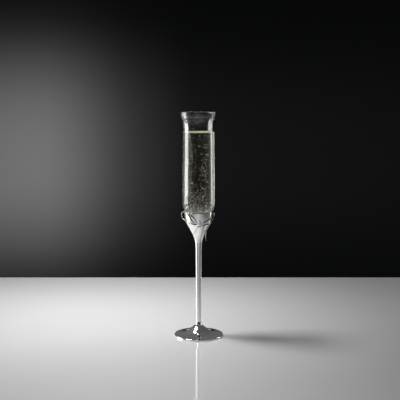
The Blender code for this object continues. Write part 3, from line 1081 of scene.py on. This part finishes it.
def area_light(name, place, target, width, height, power, beam=180.0):
    """Add a soft rectangular light, with a beam in degrees. The camera does not see its face."""
    lamp = bpy.data.lights.new(name, "AREA")
    lamp.shape = "RECTANGLE"
    lamp.size = width
    lamp.size_y = height
    lamp.energy = power
    lamp.spread = math.radians(beam)
    obj = bpy.data.objects.new(name, lamp)
    obj.location = place
    aim(obj, target)
    obj.visible_camera = False
    bpy.context.scene.collection.objects.link(obj)


def grey_ramp(tree, value, low, high, stops):
    """Return a smooth grey that follows a value from low to high through (value, grey) stops."""
    span = tree.nodes.new("ShaderNodeMapRange")
    span.inputs["From Min"].default_value = low
    span.inputs["From Max"].default_value = high
    tree.links.new(value, span.inputs["Value"])
    ramp = tree.nodes.new("ShaderNodeValToRGB")
    ramp.color_ramp.interpolation = "B_SPLINE"
    elements = ramp.color_ramp.elements
    while len(elements) < len(stops):
        elements.new(0.5)
    for element, (place, grey) in zip(elements, stops):
        element.position = (place - low) / (high - low)
        element.color = (grey, grey, grey, 1.0)
    tree.links.new(span.outputs["Result"], ramp.inputs["Fac"])
    return ramp.outputs["Color"]


def studio_world():
    """Set the room round the floor.

    The camera sees a charcoal wall with a pale patch of light low on its left. Gloss and glass see
    a dark room instead, brighter at the far left and along the ceiling, and dim in front.
    """
    world = bpy.data.worlds.new("Studio")
    bpy.context.scene.world = world
    world.use_nodes = True
    tree = world.node_tree
    place = tree.nodes.new("ShaderNodeTexCoord")
    parts = tree.nodes.new("ShaderNodeSeparateXYZ")
    tree.links.new(place.outputs["Generated"], parts.inputs["Vector"])
    sideways = parts.outputs["X"]
    depth = parts.outputs["Y"]
    height = parts.outputs["Z"]

    across = grey_ramp(tree, sideways, -0.5, 0.5, [
        (-0.40, 0.100), (-0.26, 0.145), (-0.19, 0.182), (-0.15, 0.145), (-0.10, 0.046),
        (-0.05, 0.018), (-0.01, 0.005), (0.08, 0.0045), (0.24, 0.0025)])
    up = grey_ramp(tree, height, -0.4, 0.4, [
        (-0.24, 0.05), (-0.20, 0.10), (-0.16, 0.42), (-0.11, 0.90), (-0.06, 1.00),
        (0.00, 0.82), (0.055, 0.26), (0.10, 0.02), (0.16, 0.0)])
    wall = colour_mix(tree, "MULTIPLY", 1.0, across, up)
    charcoal = (0.0022, 0.0024, 0.0026, 1.0)
    wall = colour_mix(tree, "ADD", 1.0, wall, charcoal)

    room = grey_ramp(tree, sideways, -1.0, 1.0, [
        (-1.0, 0.30), (-0.72, 0.55), (-0.60, 0.42), (-0.50, 0.12), (-0.40, 0.030),
        (-0.20, 0.008), (0.0, 0.004), (0.4, 0.004), (0.7, 0.010), (1.0, 0.03)])
    ceiling = grey_ramp(tree, sideways, -1.0, 1.0, [(-0.8, 0.20), (0.0, 0.12), (0.8, 0.075)])
    room = colour_mix(tree, "MIX", eased(tree, height, 0.0, 0.20), room, ceiling)
    dim_front = (0.03, 0.03, 0.03, 1.0)
    room = colour_mix(tree, "MIX", eased(tree, depth, 0.1, -0.7), room, dim_front)

    seen = tree.nodes.new("ShaderNodeLightPath")
    result = colour_mix(tree, "MIX", seen.outputs["Is Camera Ray"], room, wall)
    tree.links.new(result, tree.nodes["Background"].inputs["Color"])


class FLUTE_OT_studio_stage(bpy.types.Operator):
    """Set the pale floor, the soft studio light and the camera."""

    bl_idname = "flute.studio_stage"
    bl_label = "Studio Stage"

    def execute(self, context):
        scene = context.scene
        scene.view_settings.view_transform = "Standard"
        studio_world()

        back = 0.358
        front = -1.3
        side = 1.1
        thickness = 20.0 * MM
        shape = bmesh.new()
        corners = [(-side, front, 0.0), (side, front, 0.0), (side, back, 0.0), (-side, back, 0.0)]
        lid = shape.faces.new([shape.verts.new(corner) for corner in corners])
        made = bmesh.ops.extrude_face_region(shape, geom=[lid])
        sunk = [item for item in made["geom"] if isinstance(item, bmesh.types.BMVert)]
        bmesh.ops.translate(shape, vec=(0.0, 0.0, -thickness), verts=sunk)
        bmesh.ops.recalc_face_normals(shape, faces=shape.faces[:])
        mesh = bpy.data.meshes.new("floor")
        shape.to_mesh(mesh)
        shape.free()
        floor = bpy.data.objects.new("floor", mesh)
        scene.collection.objects.link(floor)
        mesh.materials.append(pale_floor())

        middle = (0.0, 0.0, 0.5 * CAD_HIGH.z)
        area_light("key_softbox", (-1.02, 0.215, 0.24), middle, 0.68, 0.56, 7.2)
        area_light("rim_strip", (0.95, 0.36, 0.30), middle, 0.16, 0.90, 2.0)
        area_light("top_softbox", (-0.42, 0.10, 1.00), (-0.12, 0.10, 0.0), 0.24, 0.24, 1.10, beam=46.0)
        area_light("front_softbox", (-0.10, -0.50, 0.70), (-0.05, -0.50, 0.0), 0.24, 0.24, 0.6, beam=70.0)

        camera = bpy.data.cameras.new("camera")
        camera.lens = 75.7
        camera.sensor_width = 36.0
        view = bpy.data.objects.new("camera", camera)
        tilt_down = 6.38
        view.location = (1.68 * MM, -1.0357, CAD_HIGH.z + 7.2 * MM)
        view.rotation_euler = (math.radians(90.0 - tilt_down), 0.0, 0.0)
        scene.collection.objects.link(view)
        scene.camera = view
        return {"FINISHED"}


class FLUTE_PT_workshop(bpy.types.Panel):
    """Lists the flute's pieces in the order that they are made."""

    bl_label = "Champagne Flute"
    bl_idname = "FLUTE_PT_workshop"
    bl_space_type = "VIEW_3D"
    bl_region_type = "UI"
    bl_category = "Flute"

    def draw(self, context):
        layout = self.layout
        for operator in OPERATORS:
            layout.operator(operator.bl_idname)
        for group in (context.scene.flute_sizes, context.scene.flute_colours):
            box = layout.box()
            for label in group.__annotations__:
                box.prop(group, label)


OPERATORS = (
    FLUTE_OT_studio_stage,
    FLUTE_OT_crystal_bowl,
    FLUTE_OT_champagne,
    FLUTE_OT_bubbles,
    FLUTE_OT_foam_ring,
    FLUTE_OT_cup,
    FLUTE_OT_stem,
    FLUTE_OT_foot,
    FLUTE_OT_cement_bed,
    FLUTE_OT_boss,
    FLUTE_OT_tie_rod,
    FLUTE_OT_washer_and_nut,
    FLUTE_OT_wire_bow,
)
CLASSES = (FluteSizes, FluteColours) + OPERATORS + (FLUTE_PT_workshop,)


def register():
    """Register the classes and the scene's settings."""
    for cls in CLASSES:
        bpy.utils.register_class(cls)
    bpy.types.Scene.flute_sizes = PointerProperty(type=FluteSizes)
    bpy.types.Scene.flute_colours = PointerProperty(type=FluteColours)


def unregister():
    """Remove the classes and the scene's settings."""
    del bpy.types.Scene.flute_colours
    del bpy.types.Scene.flute_sizes
    for cls in reversed(CLASSES):
        bpy.utils.unregister_class(cls)


def main():
    """Register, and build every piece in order."""
    register()
    for operator in OPERATORS:
        group, name = operator.bl_idname.split(".")
        getattr(getattr(bpy.ops, group), name)()


if __name__ == "__main__":
    main()
